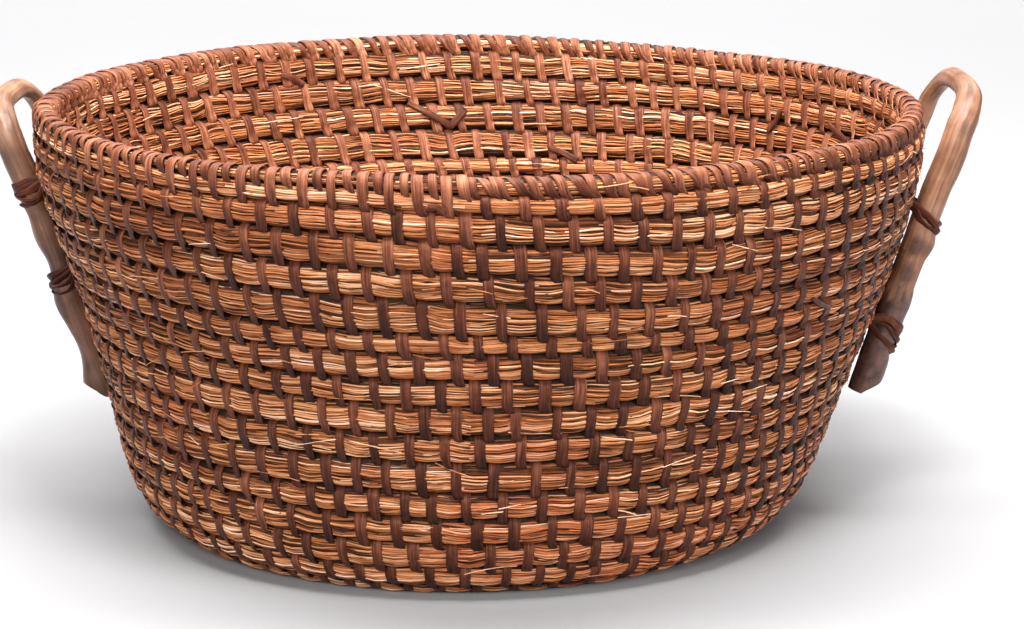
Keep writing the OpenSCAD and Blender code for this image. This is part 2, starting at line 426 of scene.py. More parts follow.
def straw_tones(rng, count):
    """Lightness of each stalk: most are tan, some are dark and some are pale."""
    tone = np.clip(rng.normal(0.55, 0.16, count), 0.2, 0.86)
    kind = rng.uniform(0, 1, count)
    tone[kind < 0.16] = rng.uniform(0.14, 0.30, (kind < 0.16).sum())
    tone[kind > 0.94] = rng.uniform(0.76, 0.96, (kind > 0.94).sum())
    return tone


# The two layers of stalks: how far out each lies, and the share of its lanes that it fills
STRAW_LAYERS = ((0.0, 1.0), (-0.55 * MM, 0.25))
UNDER_LAYER_SHADE = 0.62  # painted shade: the tone of the lower layer, seen only between the upper stalks, as a share of the upper one's
# Painted shade darkens the stalks towards the creases between the turns: how much, and how closely it keeps
# to the crease
CREASE_PAINTED_SHADE = ((0.25, 4), (0.6, 10))


def straw_run(soup, from_turn, to_turn, outside, inside, top, seed):
    """All the straw of the bundle from one turn to another: its core, dark with painted shade, its stalks and
    its broken ends.
    """
    rng = np.random.default_rng(seed)
    first = int(np.searchsorted(RING_TURNS, from_turn))
    last = int(np.searchsorted(RING_TURNS, to_turn))
    add_core(soup, first, min(last + 1, len(RING_TURNS) - 1))
    for layer_lift, share in STRAW_LAYERS:
        angles = [a + rng.uniform(-0.04, 0.04) for a in lane_angles(outside, inside, top)]
        if share < 1:
            angles = [a + 0.1 for a in angles if rng.uniform() < share]
        stalks = lay_lanes(rng, first, last, angles, (12, 42))
        begins, counts, lanes = (np.array(column) for column in zip(*stalks))
        owner = np.repeat(np.arange(len(stalks)), counts)
        step = np.arange(counts.sum()) - np.repeat(np.cumsum(counts) - counts, counts)
        ring = begins[owner] + step
        share_along = step / (counts[owner] - 1)
        turn = RING_TURNS[ring]
        mark = rng.uniform(0, 100, len(stalks))[owner]
        drift = rng.normal(0, 0.14, len(stalks))[owner]
        wander = 0.09 * smooth_noise(turn * 80 + mark * 7, seed + 1)
        twist = 0.16 * smooth_noise(turn * 50, 31) + 0.09 * smooth_noise(turn * 120, 32)
        angle = lanes[owner] + drift * (share_along - 0.5) + wander + twist
        near_end = np.minimum(np.minimum(step, counts[owner] - 1 - step) / 1.6, 1)
        blunt = rng.uniform(0, 1, len(stalks))[owner] < 0.35
        taper = np.where(blunt, 0.75 + 0.25 * near_end, 0.3 + 0.7 * near_end)
        lift = layer_lift + rng.normal(0, 0.2 * MM, len(stalks))[owner]
        lift = lift + 0.24 * MM * smooth_noise(turn * 90 + mark * 3, seed + 2)
        lift = lift + np.where(blunt, 0.25 * MM, -0.55 * MM) * (1 - near_end)
        thick = rng.uniform(0.35, 0.60, len(stalks))[owner] * MM * taper
        wide = rng.uniform(0.34, 0.70, len(stalks))[owner] * MM * taper
        tone = straw_tones(rng, len(stalks))[owner]
        # Painted shade: each stalk is darker the nearer it lies to a crease
        for darker, power in CREASE_PAINTED_SHADE:
            tone = tone - darker * np.abs(np.sin(angle)) ** power
        # Painted shade darkens the lower layer
        if layer_lift < 0:
            tone = tone * UNDER_LAYER_SHADE
        size = np.interp(turn, (WALL_TURNS, WALL_TURNS + 1, END_TURN), (1, 0.85, 0.6))
        add_stalks(soup, counts, turn, RING_PINCH[ring], angle, lift, thick * size, wide * size, tone, mark)
    add_loose_bits(soup, rng, from_turn, to_turn)


CORE_SIDES = 14
CORE_SHARE = 1.04  # of the bundle's height
CORE_DEPTH = 1.2 * MM  # how far under the bundle's face it lies
CORE_POWER = 2.6  # of its section
# Painted shade: the core's tone is dark, as it is seen only in the gaps between the stalks
CORE_SHADE_TONE = 0.17
CORE_CREASE_SHADE = 0.45  # painted shade: how much darker it is in the creases


def add_core(soup, first, last):
    """The middle of the bundle, seen only between stalks, coloured dark as painted shade."""
    turn = RING_TURNS[first:last + 1]
    middle, half_height, _ = bundle(turn)
    half_depth = pinched_bundle(turn, RING_PINCH[first:last + 1])[2]
    angle = -2 * math.pi * np.arange(CORE_SIDES) / CORE_SIDES
    height = CORE_SHARE * half_height[:, None]
    depth = (half_depth - CORE_DEPTH)[:, None]
    u, v = section_point(height, depth, angle, CORE_POWER)
    rings = wall_point(azimuth_at(turn)[:, None], middle[:, None] + u / PITCH, v)
    grain = np.zeros(rings.shape)
    grain[..., 0] = coil_length(turn)[:, None]
    grain[..., 1] = angle * half_depth[:, None]
    # Painted shade: the core is darker still towards the creases
    tone = CORE_SHADE_TONE - CORE_CREASE_SHADE * np.abs(np.sin(angle)) ** 3
    soup.add(rings, [len(turn)], grain, tone, 0.0)


KNOT_RINGS = 9
KNOT_SIDES = 16
KNOT_R = 15 * MM
KNOT_HALF_HEIGHT = 6.5 * MM
KNOT_TONE = 0.30
KNOT_MIDDLE = (SAG[0] + 4 * MM, SAG[1] - 5 * MM)


def add_knot(soup):
    """The tight middle that the coil starts from."""
    rise = np.linspace(-0.98, 0.98, KNOT_RINGS)[:, None]
    spin = -2 * math.pi * np.arange(KNOT_SIDES) / KNOT_SIDES
    radius = KNOT_R * np.sqrt(1 - rise ** 2) * (1 + 0.08 * smooth_noise(spin * 3, 77))
    x = KNOT_MIDDLE[0] + radius * np.cos(spin)
    y = KNOT_MIDDLE[1] + radius * np.sin(spin)
    z = np.maximum(BASE_Z + KNOT_HALF_HEIGHT * rise, LOWEST)
    rings = np.stack(np.broadcast_arrays(x, y, z), -1)
    soup.add(rings, [KNOT_RINGS], rings, KNOT_TONE, 0.0)


LOOSE_PER_TURN = 24
LOOSE_RINGS = 6


def add_loose_bits(soup, rng, from_turn, to_turn):
    """Short thin stalks that cross the others or stand up from the bundle."""
    count = int(LOOSE_PER_TURN * (to_turn - from_turn) * coil_radius((from_turn + to_turn) / 2) / 0.25) + 1
    start = rng.uniform(from_turn, min(to_turn, END_TURN - 0.03), count)
    length = rng.uniform(8, 34, count) * MM * rng.choice([-1, 1], count)
    share = np.linspace(0, 1, LOOSE_RINGS)
    turn = start[:, None] + (length * turns_per_metre(start))[:, None] * share
    turn = np.clip(turn, START_TURN + 0.02, END_TURN - 0.005)
    side = np.where(rng.uniform(0, 1, count) < 0.6, 0.0, math.pi)
    angle = side + rng.uniform(-0.95, 0.95, count)
    angle = angle[:, None] + rng.normal(0, 0.32, count)[:, None] * share
    standing = rng.uniform(0, 1, count) < 0.3
    tall = rng.uniform(1.2, 4.5, count)
    short = rng.uniform(0.2, 1.0, count)
    height = np.where(standing, tall, short)
    lift = 0.25 * MM + height[:, None] * MM * share ** 2
    radius = rng.uniform(0.28, 0.55, count)[:, None] * MM * (1 - 0.35 * share)
    tone = rng.uniform(0.5, 1.0, count)
    mark = rng.uniform(0, 100, count)
    add_stalks(soup, np.full(count, LOOSE_RINGS), turn.ravel(), np.zeros(count * LOOSE_RINGS), angle.ravel(),
               lift.ravel(), radius.ravel(), radius.ravel(), np.repeat(tone, LOOSE_RINGS),
               np.repeat(mark, LOOSE_RINGS))


# ---- stitches ----
BITE = 3.0 * MM  # how far below its own turn a stitch goes into the straw
STITCH_STEPS = 15  # over the bundle, without the two ends


def stitch_section(half_height, half_depth):
    """(u, v) of stitches from the outer end, over the top, to the inner end. Rows are stitches."""
    half_height, half_depth = half_height[:, None], half_depth[:, None]
    angle = np.linspace(-math.radians(36), math.pi + math.radians(36), STITCH_STEPS)
    u, v = section_point(half_height, half_depth, angle, 2.7)
    end_u = -half_height - BITE * np.array([1.12, 1.0, 0.78, 0.35, -0.25])
    end_v = half_depth * np.array([0.2, 0.62, 0.83, 0.90, 0.90])
    u = np.concatenate([end_u, u, end_u[:, ::-1]], axis=1)
    v = np.concatenate([end_v, v, -end_v[:, ::-1]], axis=1)
    return u, v


def add_wraps(soup, turns, shape, lean_out, lean_in, width, lift, seed, tone_shift=0.0, hook=1.4 * MM):
    """Strips over the bundle at these turns. shape is (middle level, half height, half depth) at each;
    lean_out and lean_in are how far the outer and inner ends stand behind and ahead along the coil."""
    rng = np.random.default_rng(seed)
    count = len(turns)
    middle, half_height, half_depth = shape
    u, v = stitch_section(half_height + 0.1 * MM, half_depth + 0.1 * MM)
    steps = u.shape[1]
    share = np.linspace(-1, 1, steps)
    behind = (lean_out * rng.uniform(0.45, 1.5, count))[:, None] * np.clip(-share, 0, 1) ** 1.3
    ahead = (lean_in * rng.uniform(0.8, 1.2, count))[:, None] * np.clip(share, 0, 1)
    curl = hook * rng.uniform(0, 1.8, count)[:, None] * np.clip(-share - 0.62, 0, 1) / 0.38
    shift = (ahead - behind - curl) * turns_per_metre(turns)[:, None]
    turn = np.clip(turns[:, None] + shift, START_TURN, END_TURN)
    azimuth = azimuth_at(turn)
    u_out, v_out = stitch_section(half_height + 1 * MM, half_depth + 1 * MM)
    lifted = lift + 0.25 * MM * rng.uniform(-0.6, 1, count)[:, None]
    lifted = lifted * np.clip((1 - np.abs(share)) / 0.15, 0, 1)
    radial = np.hypot(u_out - u, v_out - v) + 1e-9
    u_unit, v_unit = (u_out - u) / radial, (v_out - v) / radial
    level = middle[:, None] + (u + lifted * u_unit) / PITCH
    middles = wall_point(azimuth, level, v + lifted * v_unit)
    outwards = wall_point(azimuth, level + 1 * MM * u_unit / PITCH, v + (lifted + 1 * MM) * v_unit) - middles
    # Where the surface is worn level, a strip still faces away from the bundle.
    outwards = normalised(outwards + 1e-7 * np.array([0, 0, -1.0]))
    widths = width * rng.uniform(0.84, 1.14, count)[:, None]
    widths = widths * (1 + 0.05 * smooth_noise(share * 3 + 10 * np.arange(count)[:, None], seed + 3))
    widths = widths * (1 - 0.45 * np.clip(np.abs(share) - 0.8, 0, 1) / 0.2)
    thickness = SPLINT_T * rng.uniform(0.85, 1.15, count)[:, None]
    tone = np.clip(rng.normal(0.52 + tone_shift, 0.13, count), 0.05, 1)[:, None]
    # Painted shade darkens and greys the outer end, where it goes down into the crease below its turn;
    # painted light makes the inner end paler
    shade = np.clip((-share - 0.25) / 0.65, 0, 1) ** 1.2 - 0.5 * np.clip((share - 0.1) / 0.5, 0, 1)
    add_strips(soup, middles, outwards, widths, thickness, tone, shade[None, :], seed + 5)


STITCH_PINCH = 0.9  # how far the bundle is drawn in at a stitch, as a share of its pinch


def stitch_run(soup, turns, seed):
    """The plain stitches at these turns of the coil."""
    shape = pinched_bundle(turns, STITCH_PINCH)
    add_wraps(soup, turns, shape, lean_out=2.0 * MM, lean_in=6.0 * MM, width=SPLINT_W, lift=0.15 * MM,
              seed=seed)


def rim_run(soup):
    """The wraps of the last turn: two interleaved diagonal courses, and beside the thin tail, long stitches
    over both bundles with short wraps of the tail between them."""
    plain = RIM_STITCHES[RIM_STITCHES > WALL_TURNS + TAIL_TURNS]
    add_wraps(soup, plain, pinched_bundle(plain, STITCH_PINCH), lean_out=6.5 * MM, lean_in=7.0 * MM,
              width=6.6 * MM, lift=0.75 * MM, seed=61, tone_shift=0.12)
    between = (plain[:-1] + plain[1:]) / 2
    add_wraps(soup, between, pinched_bundle(between, 0.6), lean_out=12.5 * MM, lean_in=11.0 * MM,
              width=5.6 * MM, lift=0.2 * MM, seed=62, tone_shift=-0.06, hook=0.0)
    both = LONG_STITCHES
    low, low_height, low_depth = pinched_bundle(both, STITCH_PINCH)
    high, high_height, _ = bundle(both + 1)
    bottom = low * PITCH - low_height
    top = high * PITCH + high_height
    shape = ((bottom + top) / 2 / PITCH, (top - bottom) / 2, low_depth)
    add_wraps(soup, both, shape, lean_out=2.5 * MM, lean_in=6.0 * MM,
              width=6.2 * MM, lift=0.5 * MM, seed=63, tone_shift=0.12)
    middle, half_height, half_depth = bundle(TAIL_WRAPS)
    shape = (middle, half_height + 0.8 * MM, half_depth + 1.6 * MM)
    add_wraps(soup, TAIL_WRAPS, shape, lean_out=3.0 * MM, lean_in=3.0 * MM,
              width=5.6 * MM, lift=0.3 * MM, seed=64, tone_shift=0.15, hook=0.0)


# ---- loose ends of splint on the wall ----
# Each is the turn it starts at, whether it is inside (-1) or outside (1), its width in mm, and its
# corners: mm along the wall, mm up from the crease above that turn, and mm off the straw
LOOSE_ENDS = (
    (11.486, -1, 5.2, ((-11, 14, 0.4), (0, 1.5, 1.6), (1.5, 2, 2.2), (18, 12, 1.4), (30, 19, 0.4))),
    (13.420, -1, 5.0, ((-3, -2, 1.0), (6, 4, 1.8), (14, 7, 0.2))),
    (10.540, -1, 4.6, ((-6, -3, 1.4), (6, 3, 1.8), (16, 6, 0.3))),
    (12.640, -1, 4.6, ((-2, 8, 0.6), (1, 0, 2.2), (7, -9, 1.0))),
    (12.680, -1, 4.8, ((-12, -3, 0.6), (2, 1, 2.0), (13, 5, 0.5))),
    (11.250, -1, 5.0, ((-8, 3, 0.6), (4, -2, 2.2), (12, -7, 0.8))),
    (14.012, 1, 4.4, ((-5, 0, 0.6), (-1, 3, 2.0), (4, 3, 1.2))),
    (9.860, 1, 3.6, ((-10, -4, 0.6), (2, 1, 2.6), (11, 6, 1.2))),
    (7.190, 1, 3.2, ((-9, 6, 0.8), (0, -1, 3.0), (6, -6, 1.4))),
    (4.300, 1, 4.0, ((-8, -4, 0.8), (0, 3, 3.2), (10, 4, 1.6))),
    (6.560, 1, 4.2, ((-10, 5, 0.6), (0, -2, 2.6), (12, -6, 1.0))),
    (12.400, 1, 4.6, ((-12, 4, 0.6), (0, -3, 2.4), (13, -5, 0.8))),
)
LOOSE_END_STEPS = 22


def loose_ends(soup):
    """Ends of strips that were left standing off the wall, some of them folded."""
    for number, (turn, side, width, corners) in enumerate(LOOSE_ENDS):
        along, up, off = (np.array(column) * MM for column in zip(*corners))
        share = np.linspace(0, len(corners) - 1, LOOSE_END_STEPS)
        along, up, off = (np.interp(share, np.arange(len(corners)), column) for column in (along, up, off))
        turns = turn + side * along * turns_per_metre(turn)
        crease = np.interp(turns, GRID, TOP)
        depth = bundle(turns)[2]
        # The straw's surface is furthest out in the middle of a turn.
        bulge = 0.80 + 0.20 * np.abs(np.sin(math.pi * up / PITCH))
        level = crease + up / PITCH
        middles = wall_point(azimuth_at(turns), level, side * (depth * bulge + off))
        outwards = wall_point(azimuth_at(turns), level, side * (depth * bulge + off + 1 * MM)) - middles
        widths = width * MM * (1 - 0.3 * (share / share[-1]) ** 3)
        add_strips(soup, middles[None], outwards[None], widths[None], SPLINT_T, 0.45, 0.2, 850 + number)


# ---- handles ----
def handle_place(side, local):
    """Points of the part's frame from points of a handle's plane: X is out of it, Y is between the legs
    and Z is up them."""
    x, y, z = np.moveaxis(np.asarray(local, float), -1, 0)
    settled = np.interp(z / MM, SETTLED_AT, SETTLED[side]) * MM
    out = HANDLE_OUT + settled + x * math.cos(LEAN) + z * math.sin(LEAN)
    up = HANDLE_Z - x * math.sin(LEAN) + z * math.cos(LEAN)
    across = side * (out * math.cos(HANDLE_BACK) - y * math.sin(HANDLE_BACK))
    back = out * math.sin(HANDLE_BACK) + y * math.cos(HANDLE_BACK)
    return np.stack([across, back, up], -1)


HANDLE_SIDES = 28
LEG_LENGTH = LOOP_MID - LEG_END
LOOP_LENGTH = math.pi * LEG_HALF
HANDLE_LENGTH = 2 * LEG_LENGTH + LOOP_LENGTH
LOOP_POWER = 3.4  # of the loop's outline, 2 for a half circle
LOOP_DROP = {1: 5.0 * MM, -1: 13.0 * MM}


def rod_middle(along, side):
    """Middle of the rod this far along it from the end of its front leg, in the handle's plane."""
    turn = np.clip((along - LEG_LENGTH) / LOOP_LENGTH, 0, 1) * math.pi
    z, y = section_point(LEG_HALF - LOOP_DROP[side], -LEG_HALF, turn, LOOP_POWER)
    z = LOOP_MID + z
    longer = 1 + LEG_EXTRA[side] / LEG_LENGTH
    z = z - longer * np.clip(LEG_LENGTH - along, 0, None)
    z = z - longer * np.clip(along - LEG_LENGTH - LOOP_LENGTH, 0, None)
    return y, z


# The rod's thickness along its whole length, as shares of ROD_R
GIRTH_AT = (0, 0.3, 0.42, 0.5, 0.62, 0.8, 1)
GIRTHS = (1.04, 1.08, 1.01, 0.76, 0.74, 0.78, 0.9)
# Swellings of each rod: how far from the end of the front leg, reach along it, direction round it in
# degrees with 0 outward and 90 to the front, how far round, and height
SWELLINGS = {
    1: (
        (100, 8, 35, 60, 2.8), (84, 7, 60, 45, 1.2), (60, 8, 10, 70, 0.9), (18, 9, 0, 60, 0.6),
        (30, 4, 0, 60, -1.6), (150, 9, 20, 60, 1.2), (172, 16, 0, 180, 0.8), (400, 10, 20, 60, 1.5),
        (452, 14, 0, 180, 0.9),
    ),
    -1: (
        (10, 9, 10, 70, 3.2), (62, 11, 10, 60, 2.2), (104, 12, 0, 60, 1.6), (32, 11, 0, 180, -1.6),
        (88, 11, 0, 180, -2.0), (122, 8, 180, 60, -1.0), (170, 20, 0, 180, 0.6), (395, 11, 30, 60, 1.6),
        (440, 10, 0, 90, 1.2),
    ),
}
# How pale each rod is worn, at these shares of the way from the end of its front leg to its other end
WEAR_AT = (0, 0.2, 0.33, 0.42, 0.58, 0.67, 0.8, 1)
WEAR = {
    1: (-0.06, 0.06, 0.12, 0.10, 0.22, 0.12, 0.0, -0.04),
    -1: (-0.18, -0.14, 0.0, 0.10, 0.13, 0.06, -0.1, -0.14),
}
BARK_REACH = {1: 64 * MM, -1: 0.0}
# Dark scars where twigs were cut off: how far along, direction round it, reach along it, how far round
SCARS = {1: ((98, 98, 6.0, 30), (80, 96, 8.0, 16), (404, 40, 5, 30)), -1: ((60, 30, 4, 30), (398, 50, 5, 30))}
END_STEP = 0.9 * MM
BODY_STEP = 2.4 * MM
END_REACH = 20 * MM


def rod_stations():
    near = np.arange(0, END_REACH, END_STEP)
    body = np.arange(END_REACH, HANDLE_LENGTH - END_REACH, BODY_STEP)
    return np.concatenate([near, body, HANDLE_LENGTH - near[::-1]])


def handle_piece(side, name, material, seed):
    """One bent rod with swellings, worn flats, a patch of bark and ends cut aslant."""
    along = rod_stations()
    y, z = rod_middle(along, side)
    spin = 2 * math.pi * np.arange(HANDLE_SIDES) / HANDLE_SIDES
    share = along / HANDLE_LENGTH
    radius = ROD_R * np.interp(share, GIRTH_AT, GIRTHS)
    radius = radius * (1 + 0.025 * smooth_noise(along / (17 * MM), seed))
    reach = np.clip((along - LEG_LENGTH) / LOOP_LENGTH, 0, 1)
    straight = np.sin(reach * math.pi)
    radius = np.repeat(radius[:, None], HANDLE_SIDES, axis=1)
    radius = radius * (1 - 0.06 * straight[:, None] * np.cos(spin) ** 2)
    for place, length, facing, spread, height in SWELLINGS[side]:
        away = (np.degrees(spin) - facing + 180) % 360 - 180
        weight = np.exp(-((along / MM - place) / length) ** 2)[:, None] * np.exp(-(away / spread) ** 2)
        radius = radius + height * MM * weight
    ripple = 0.22 * MM * smooth_noise(along[:, None] / (9 * MM) + 3 * np.sin(spin), seed + 1)
    drift = 0.6 * smooth_noise(along / (20 * MM), seed + 2)[:, None]
    ridges = 0.10 * MM * smooth_noise(spin * 14 + drift, seed + 3)
    radius = radius + ripple + ridges
    jag = 7 * MM * smooth_noise(spin * 3.2, seed + 4) + 3.5 * MM * smooth_noise(spin * 9, seed + 5)
    bark = np.clip((BARK_REACH[side] + jag * (BARK_REACH[side] > 0) - along[:, None]) / (0.8 * MM), 0, 1)
    radius = radius + 0.55 * MM * bark
    for place, facing, length, spread in SCARS[side]:
        away = (np.degrees(spin) - facing + 180) % 360 - 180
        near = ((along[:, None] / MM - place) / length) ** 2 + (away / spread) ** 2
        near = near + 0.5 * smooth_noise(spin * 5 + along[:, None] / (4 * MM), seed + 9)
        bark = np.maximum(bark, 0.9 * np.clip(1.4 - near, 0, 1))
    # Across the rod: out of the plane, and in the plane at a right angle to the rod
    heading = reach * math.pi
    sideways = radius * np.sin(spin)
    bow = 1.2 * MM * smooth_noise(along / (60 * MM), seed + 6)
    x = radius * np.cos(spin) + bow[:, None]
    ring_y = y[:, None] - sideways * np.cos(heading)[:, None]
    ring_z = z[:, None] + sideways * np.sin(heading)[:, None]
    # The ends are cut aslant, with the tip on the wall side.
    cut = LEG_END - LEG_EXTRA[side] + ROD_R * 0.2 + x * math.tan(CHISEL) * 0.9
    cut = cut + 1.1 * MM * smooth_noise(spin * 2, seed + 7)
    from_end = np.minimum(along, HANDLE_LENGTH - along)
    ring_z = np.where(from_end[:, None] < 0.5 * LEG_LENGTH, np.maximum(ring_z, cut), ring_z)
    rings = handle_place(side, np.stack([x, ring_y, ring_z], -1))
    if side > 0:
        rings = rings[:, ::-1]
        spin = spin[::-1]
        bark = bark[:, ::-1]
    grain = np.zeros(rings.shape)
    grain[..., 0] = along[:, None]
    grain[..., 1] = spin * ROD_R
    grain[..., 2] = seed
    soup = Soup()
    tone = np.interp(share, WEAR_AT, WEAR[side])
    tone = np.repeat(tone[:, None], HANDLE_SIDES, axis=1)
    soup.add(rings, [len(along)], grain, tone, bark)
    return soup.piece(name, material, ["handle_left" if side < 0 else "handle_right"])


# ---- lashings ----
WALL_FACE = 17.6 * MM  # from the wall side of a rod to the inner face of the wall
LOOP_STEPS = 44
TAIL_STEPS = 12
# For each side and row of lashings: the turn it stands above, how far it has slipped down its leg, how
# far it slopes down outward, and the heights of its strips, in mm
LASHINGS = {
    (-1, "upper"): (12, 6, 1.0, (-5.5, 0.5, 6)),
    (-1, "lower"): (9, 10, 0.5, (-6, -0.5, 5.5)),
    (1, "upper"): (11, 9, 4.0, (-2.5, 3)),
    (1, "lower"): (6, 2, 4.5, (-8, -5.5, 4.5, 7)),
}


def lashing_piece(side, end, row, name, material, seed):
    """Strips wound round one leg and through the wall."""
    rng = np.random.default_rng(seed)
    turns_below, slip, drop, heights = LASHINGS[side, row]
    quarter = 0.25 if side < 0 else 0.75
    gap_level = np.interp(turns_below + quarter, GRID, TOP)
    gap_z = (np.interp(gap_level, LEVELS, LEVEL_HEIGHTS) - HANDLE_Z) / math.cos(LEAN)
    turn = np.linspace(-math.pi, math.pi, LOOP_STEPS)
    soup = Soup()
    # Each strip: height on the leg, tilt, size of the loop round the leg, width
    strips = []
    for i, height in enumerate(heights):
        tilt = rng.uniform(-1.5, 1.5) * MM
        width = rng.uniform(4.6, 6.4) * MM
        strips.append((height * MM, tilt, 0.4 * MM + 0.35 * MM * i, width))
    strips.append((0, rng.choice([-1, 1]) * 4.5 * MM, 1.6 * MM, 4.2 * MM))
    aim = end * math.asin(LEG_HALF / HANDLE_OUT)
    for number, (height, tilt, stand, width) in enumerate(strips):
        radius = ROD_R + stand
        outer = np.cos(turn) > 0
        # The loop is round outside the leg. Towards the wall it goes straight through, and then flat
        # across the inside.
        through = np.maximum(-(ROD_R + WALL_FACE + 0.8 * MM), 3.4 * radius * np.cos(turn))
        x = np.where(outer, radius * np.cos(turn), through)
        beside = np.sign(np.sin(turn)) * np.minimum(1.0, np.abs(np.sin(turn)) * 2.4)
        y = radius * np.where(outer, np.sin(turn), beside)
        z = height + tilt * np.sin(turn + 0.4) + 0.6 * MM * smooth_noise(turn * 2 + number * 9, seed)
        z = z - slip * MM - drop * MM * np.cos(turn)
        squeeze = np.clip((-x - 2 * MM) / (8 * MM), 0, 1)
        z = z * (1 - 0.75 * squeeze)
        local_x = x * math.cos(aim) - y * math.sin(aim)
        local_y = x * math.sin(aim) + y * math.cos(aim) + end * LEG_HALF
        middles = handle_place(side, np.stack([local_x, local_y, gap_z + z], -1))
        centre = handle_place(side, np.array([-0.5 * ROD_R, end * LEG_HALF, gap_z]))
        outwards = normalised(middles - centre)
        widths = width * (1 + 0.1 * smooth_noise(turn * 2 + number * 5, seed + 1))
        tone = np.clip(rng.normal(0.42, 0.12), 0, 1)
        add_strips(soup, middles[None], outwards[None], widths[None], SPLINT_T * 1.1, tone, 0.25,
                   seed + number)
    add_loose_tail(soup, side, end, gap_z - (slip + drop) * MM, rng, seed)
    return soup.piece(name, material, [name.lower()])


def add_loose_tail(soup, side, end, height, rng, seed):
    """The end of a strip, tucked under the lashing and curling away from the leg."""
    share = np.linspace(0, 1, TAIL_STEPS)
    facing = rng.uniform(-0.9, 0.9)
    away = ROD_R + 0.6 * MM + rng.uniform(0.5, 3.5) * MM * share ** 2
    turn = facing + 0.9 * share
    drop = -rng.uniform(6, 12) * MM * share
    local = np.stack([away * np.cos(turn), end * LEG_HALF + away * np.sin(turn), height + drop], -1)
    middles = handle_place(side, local)
    leg = np.stack([np.zeros(TAIL_STEPS), np.full(TAIL_STEPS, end * LEG_HALF), height + drop], -1)
    outwards = normalised(middles - handle_place(side, leg))
    widths = 4.5 * MM * (1 - 0.5 * share ** 3)
    add_strips(soup, middles[None], outwards[None], widths[None], SPLINT_T, 0.4, 0.3, seed + 17)


# ---- materials ----
BUMP_DISTANCE = 0.4 * MM


class Nodes:
    """Short calls for building a material's node tree."""

    def __init__(self, name):
        self.material = bpy.data.materials.new(name)
        self.material.use_nodes = True
        self.tree = self.material.node_tree
        self.shader = self.tree.nodes["Principled BSDF"]

    def node(self, kind, **settings):
        made = self.tree.nodes.new(kind)
        for key, value in settings.items():
            setattr(made, key, value)
        return made

    def join(self, source, socket):
        self.tree.links.new(source, socket)

    def attribute(self, name):
        return self.node("ShaderNodeAttribute", attribute_name=name)

    def stretched(self, vector, scale):
        """The vector times a scale of its own on each axis."""
        mapping = self.node("ShaderNodeMapping")
        mapping.inputs["Scale"].default_value = scale
        self.join(vector, mapping.inputs["Vector"])
        return mapping.outputs["Vector"]

    def noise(self, vector, scale, detail=3.0, roughness=0.55, distortion=0.0):
        made = self.node("ShaderNodeTexNoise")
        self.join(vector, made.inputs["Vector"])
        made.inputs["Scale"].default_value = scale
        made.inputs["Detail"].default_value = detail
        made.inputs["Roughness"].default_value = roughness
        made.inputs["Distortion"].default_value = distortion
        return made.outputs["Fac"]

    def math(self, operation, first, second=0.5, third=0.5):
        made = self.node("ShaderNodeMath", operation=operation)
        for socket, value in zip(made.inputs, (first, second, third)):
            if isinstance(value, (int, float)):
                socket.default_value = value
            else:
                self.join(value, socket)
        return made.outputs[0]

    def summed(self, start, parts):
        """start plus each value times its weight."""
        for value, weight in parts:
            start = self.math("MULTIPLY_ADD", value, weight, start)
        return start

    def ramp(self, factor, stops):
        made = self.node("ShaderNodeValToRGB")
        while len(made.color_ramp.elements) < len(stops):
            made.color_ramp.elements.new(0.5)
        for element, (place, colour) in zip(made.color_ramp.elements, stops):
            element.position = place
            element.color = (*colour, 1)
        self.join(factor, made.inputs["Fac"])
        return made.outputs["Color"]

    def mix(self, factor, first, second, blend="MIX"):
        made = self.node("ShaderNodeMix", data_type="RGBA", blend_type=blend)
        sockets = (made.inputs["Factor"], made.inputs[6], made.inputs[7])
        for socket, value in zip(sockets, (factor, first, second)):
            if isinstance(value, (int, float)):
                socket.default_value = value
            elif isinstance(value, tuple):
                socket.default_value = (*value, 1)
            else:
                self.join(value, socket)
        return made.outputs[2]

    def spread(self, value, low, high, to_low, to_high):
        made = self.node("ShaderNodeMapRange")
        self.join(value, made.inputs["Value"])
        for name, number in (("From Min", low), ("From Max", high), ("To Min", to_low), ("To Max", to_high)):
            made.inputs[name].default_value = number
        return made.outputs["Result"]

    def tinted(self, factor, colour, tint):
        """The colour, turned by the factor towards itself times a tint."""
        return self.mix(factor, colour, self.mix(1.0, colour, tint, "MULTIPLY"))

    def finish(self, colour, fibre, roughness, specular, tint=(1, 1, 1)):
        """Sets colour and gloss; roughness is its value where the fibre noise is low and where it is high."""
        self.join(colour, self.shader.inputs["Base Color"])
        self.join(self.spread(fibre, 0.3, 0.7, *roughness), self.shader.inputs["Roughness"])
        self.shader.inputs["Specular IOR Level"].default_value = specular
        self.shader.inputs["Specular Tint"].default_value = (*tint, 1)

    def bump(self, height, strength):
        made = self.node("ShaderNodeBump")
        made.inputs["Strength"].default_value = strength
        made.inputs["Distance"].default_value = BUMP_DISTANCE
        self.join(height, made.inputs["Height"])
        self.join(made.outputs["Normal"], self.shader.inputs["Normal"])


STRAW_COLOURS = (
    (0.00, (0.010, 0.004, 0.002)), (0.16, (0.075, 0.022, 0.008)), (0.32, (0.225, 0.070, 0.024)),
    (0.50, (0.41, 0.142, 0.048)), (0.68, (0.57, 0.248, 0.102)), (0.84, (0.72, 0.42, 0.240)),
    (1.00, (0.90, 0.70, 0.54)),
)


